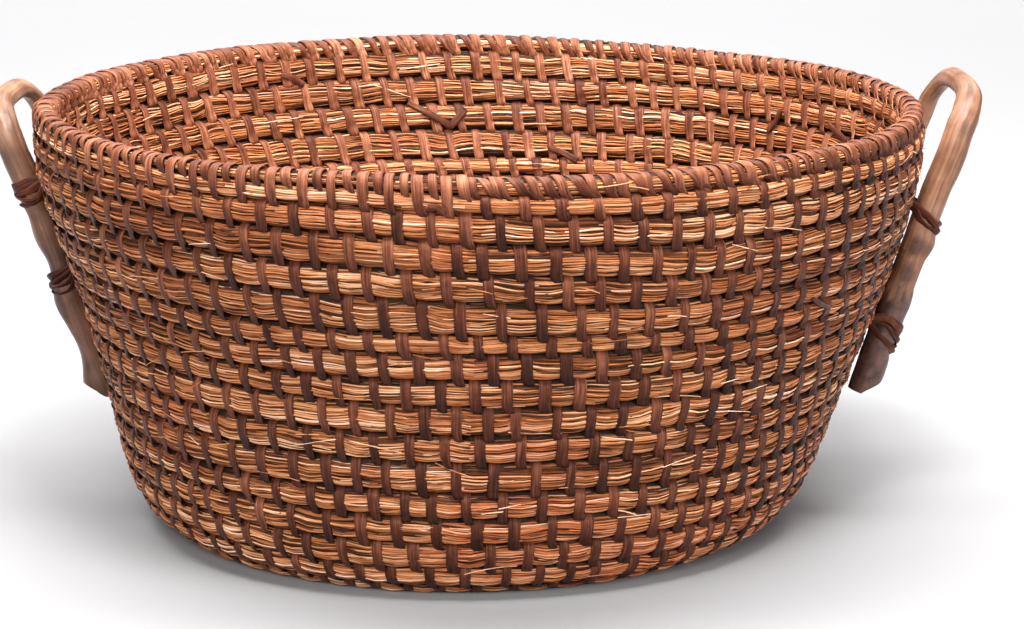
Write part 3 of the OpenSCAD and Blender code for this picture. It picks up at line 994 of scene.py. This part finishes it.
def straw_material():
    """Stalks: a colour of their own each, fine fibres along them, redder and duller low on the basket."""
    n = Nodes("Straw")
    grain = n.attribute("grain").outputs["Vector"]
    tone = n.attribute("tone").outputs["Fac"]
    place = n.node("ShaderNodeTexCoord").outputs["Object"]
    fibre = n.noise(n.stretched(grain, (90, 2300, 1.7)), 1.0, 4.0, 0.65)
    streak = n.noise(n.stretched(grain, (30, 900, 0.9)), 1.0, 2.0)
    patch = n.noise(place, 16.0, 3.0)
    blotch = n.noise(place, 75.0, 3.0, 0.6)
    lightness = n.summed(tone, ((fibre, 0.40), (streak, 0.50), (patch, 0.34), (blotch, 0.30)))
    lightness = n.math("SUBTRACT", lightness, 0.79)
    colour = n.ramp(lightness, STRAW_COLOURS)
    height = n.node("ShaderNodeSeparateXYZ")
    n.join(place, height.inputs["Vector"])
    low = n.spread(height.outputs["Z"], 0.02, 0.20, 1.0, 0.0)
    redness = n.spread(n.noise(place, 14.0, 3.0), 0.42, 0.60, 0.0, 1.0)
    redness = n.math("MULTIPLY", redness, n.math("MULTIPLY_ADD", low, 0.45, 0.40))
    n.finish(n.tinted(redness, colour, (0.86, 0.62, 0.60)), fibre, (0.55, 0.34), 0.22, (1.0, 0.82, 0.66))
    n.bump(n.math("ADD", fibre, n.math("MULTIPLY", streak, 0.6)), 0.8)
    return n.material


SPLINT_COLOURS = (
    (0.00, (0.005, 0.002, 0.001)), (0.22, (0.018, 0.005, 0.003)), (0.45, (0.070, 0.018, 0.009)),
    (0.65, (0.175, 0.055, 0.027)), (0.82, (0.350, 0.135, 0.070)), (1.00, (0.62, 0.33, 0.20)),
)


def splint_material():
    """Strips: fine fibres lengthwise, red-brown to grey-brown, darker and greyer with painted shade where
    they go into the straw, paler with painted light at the inner ends of stitches.
    """
    n = Nodes("Splint")
    grain = n.attribute("grain").outputs["Vector"]
    tone = n.attribute("tone").outputs["Fac"]
    shade = n.attribute("shade").outputs["Fac"]
    place = n.node("ShaderNodeTexCoord").outputs["Object"]
    fibre = n.noise(n.stretched(grain, (45, 1150, 3.1)), 1.0, 4.0, 0.7)
    band = n.noise(n.stretched(grain, (22, 520, 1.3)), 1.0, 2.0)
    patch = n.noise(place, 95.0, 3.0, 0.6)
    lightness = n.summed(n.math("MULTIPLY", tone, 0.45), ((fibre, 0.85), (band, 0.45), (patch, 0.36)))
    lightness = n.math("SUBTRACT", lightness, 0.55)
    # Painted shade darkens the outer ends of the stitches; painted light, a negative shade, brightens their
    # inner ends
    lightness = n.math("MULTIPLY_ADD", shade, -0.29, lightness)
    height = n.node("ShaderNodeSeparateXYZ")
    n.join(place, height.inputs["Vector"])
    lightness = n.math("ADD", lightness, n.spread(height.outputs["Z"], 0.16, 0.26, -0.04, 0.07))
    colour = n.ramp(lightness, SPLINT_COLOURS)
    # The grey tint goes with the painted shade, greyest at the outer ends of the stitches
    grey = n.spread(n.noise(place, 60.0, 2.0), 0.45, 0.62, 0.0, 0.6)
    grey = n.math("MULTIPLY", grey, n.math("MULTIPLY", shade, 0.45))
    n.finish(n.tinted(grey, colour, (0.80, 0.94, 1.10)), fibre, (0.50, 0.30), 0.19, (1.0, 0.74, 0.62))
    n.bump(n.math("ADD", fibre, n.math("MULTIPLY", band, 0.8)), 0.9)
    return n.material


WOOD_COLOURS = (
    (0.00, (0.036, 0.013, 0.007)), (0.30, (0.140, 0.058, 0.030)), (0.50, (0.265, 0.124, 0.066)),
    (0.72, (0.430, 0.222, 0.124)), (1.00, (0.62, 0.40, 0.26)),
)
BARK_COLOURS = ((0.3, (0.030, 0.013, 0.010)), (0.7, (0.130, 0.062, 0.048)))


def wood_material():
    """Peeled rod: tan and worn at the loop, greyer and darker down the legs, with dark bark left on."""
    n = Nodes("HandleWood")
    grain = n.attribute("grain").outputs["Vector"]
    wear = n.attribute("tone").outputs["Fac"]
    bark = n.attribute("shade").outputs["Fac"]
    place = n.node("ShaderNodeTexCoord").outputs["Object"]
    fibre = n.noise(n.stretched(grain, (38, 900, 1.0)), 1.0, 5.0, 0.65, 0.4)
    streak = n.noise(n.stretched(grain, (14, 210, 1.0)), 1.0, 3.0, 0.6)
    patch = n.noise(place, 34.0, 4.0, 0.6)
    lightness = n.summed(wear, ((fibre, 0.42), (streak, 0.80), (patch, 0.80)))
    lightness = n.math("SUBTRACT", lightness, 0.68)
    colour = n.ramp(lightness, WOOD_COLOURS)
    cool = n.spread(n.noise(place, 22.0, 3.0), 0.42, 0.66, 0.0, 0.7)
    colour = n.tinted(cool, colour, (0.80, 0.90, 0.98))
    bark_colour = n.ramp(n.noise(place, 190.0, 4.0, 0.7), BARK_COLOURS)
    n.finish(n.mix(bark, colour, bark_colour), fibre, (0.50, 0.30), 0.40)
    n.bump(n.math("ADD", fibre, n.math("MULTIPLY", n.noise(place, 260.0, 4.0), 0.5)), 0.5)
    return n.material


def floor_material():
    n = Nodes("Floor")
    place = n.node("ShaderNodeTexCoord").outputs["Object"]
    colour = n.ramp(n.noise(place, 1.5, 2.0), ((0.0, (0.315, 0.311, 0.317)), (1.0, (0.335, 0.331, 0.337))))
    n.join(colour, n.shader.inputs["Base Color"])
    n.shader.inputs["Roughness"].default_value = 0.85
    return n.material


# ---- the pieces ----
straw = straw_material()
splint = splint_material()
wood = wood_material()

# How many lanes of stalks show outside, inside and on top
OUTSIDE_LANES, INSIDE_LANES, TOP_LANES = 24, 20, 5
BASE_OUTSIDE_LANES, BASE_INSIDE_LANES = 10, 15
RIM_FEWER = 8  # lanes that the thin last turn has less on each side
# The base's straw: first turn, last turn, name of the piece and the CAD node it stands for
BASE_SPANS = (
    (START_TURN, -9.0, "Base_start_knot", "base_start_knot"),
    (-9.0, -2.95, "Straw_base_inner", "straw_base_coil"),
    (-2.95, 0.0, "Straw_base_outer", "straw_base_coil"),
)


def turn_name(prefix, turn):
    return f"{prefix}_{turn:02d}"


def make_base():
    for number, (begin, end, name, node) in enumerate(BASE_SPANS):
        soup = Soup()
        straw_run(soup, begin, end, BASE_OUTSIDE_LANES, BASE_INSIDE_LANES, 0, 100 + number * 7)
        if number == 0:
            add_knot(soup)
        soup.piece(name, straw, [node])
    soup = Soup()
    stitch_run(soup, STITCHES[STITCHES < 0], 150)
    soup.piece("Stitches_base", splint, ["stitches_base"])


def make_wall():
    for turn in range(1, WALL_TURNS + 1):
        top_lanes = TOP_LANES if turn == WALL_TURNS else 0
        soup = Soup()
        straw_run(soup, turn - 1, turn, OUTSIDE_LANES, INSIDE_LANES, top_lanes, 200 + 7 * turn)
        soup.piece(turn_name("Straw_turn", turn), straw, [turn_name("straw_turn", turn)])
        soup = Soup()
        stitch_run(soup, STITCHES[(STITCHES >= turn - 1) & (STITCHES < turn)], 400 + 7 * turn)
        soup.piece(turn_name("Stitches_turn", turn), splint, [turn_name("stitches_turn", turn)])


def make_rim():
    soup = Soup()
    straw_run(soup, WALL_TURNS, END_TURN - 0.002, OUTSIDE_LANES - RIM_FEWER, INSIDE_LANES - RIM_FEWER,
              TOP_LANES, 600)
    soup.piece("Straw_rim_turn", straw, ["straw_rim_turn"])
    soup = Soup()
    rim_run(soup)
    loose_ends(soup)
    soup.piece("Rim_wraps", splint, ["rim_wraps"])


def make_handles():
    handle_piece(-1, "Handle_left", wood, 701)
    handle_piece(1, "Handle_right", wood, 731)
    seed = 800
    for side, side_name in ((-1, "left"), (1, "right")):
        for end, end_name in ((-1, "front"), (1, "back")):
            for row in ("upper", "lower"):
                name = f"Lashing_{side_name}_{end_name}_{row}"
                seed += 31
                lashing_piece(side, end, row, name, splint, seed)


make_base()
make_wall()
make_rim()
make_handles()


# ---- stage and light ----
def make_floor():
    """A level floor that reaches well past what any view shows."""
    reach = 9.0
    corners = [(-reach, -reach, 0), (reach, -reach, 0), (reach, reach, 0), (-reach, reach, 0)]
    mesh = bpy.data.meshes.new("Floor")
    mesh.from_pydata(corners, [], [(0, 1, 2, 3)])
    mesh.materials.append(floor_material())
    floor = bpy.data.objects.new("Floor", mesh)
    bpy.context.scene.collection.objects.link(floor)


def area_light(name, place, aim, size, power, spread):
    data = bpy.data.lights.new(name, "AREA")
    data.shape = "RECTANGLE"
    data.size, data.size_y = size
    data.energy = power
    data.spread = math.radians(spread)
    light = bpy.data.objects.new(name, data)
    light.location = place
    direction = np.array(place) - np.array(aim)
    flat = math.hypot(direction[0], direction[1])
    light.rotation_euler = (math.atan2(flat, direction[2]), 0, math.atan2(direction[0], -direction[1]))
    bpy.context.scene.collection.objects.link(light)


# Each light: its name, place, aim, width and height, power in watts, and spread in degrees
LIGHTS = (
    ("Top", (-0.15, -0.10, 2.5), (-0.15, 0.0, 0.1), (2.8, 0.6), 158, 180),
    ("Front", (-0.50, -2.8, 1.55), (0, 0, 0.15), (1.5, 1.0), 68, 180),
    ("Right", (2.4, -1.5, 0.7), (0, 0, 0.15), (1.0, 1.0), 46, 180),
    ("Left", (-2.4, -1.5, 0.7), (0, 0, 0.15), (1.0, 1.0), 20, 180),
    ("Inner", (0.15, -0.75, 1.5), (0, 0.26, 0.18), (0.5, 0.4), 5, 60),
    ("Back", (0.0, 3.0, 2.8), (0, 3.6, 0), (6.0, 1.6), 300, 180),
)
WORLD_STRENGTH = 0.14

make_floor()
for light_settings in LIGHTS:
    area_light(*light_settings)

world = bpy.data.worlds.new("Studio")
world.use_nodes = True
world.node_tree.nodes["Background"].inputs["Color"].default_value = (1, 1, 1, 1)
world.node_tree.nodes["Background"].inputs["Strength"].default_value = WORLD_STRENGTH
bpy.context.scene.world = world
bpy.context.scene.view_settings.view_transform = "Standard"
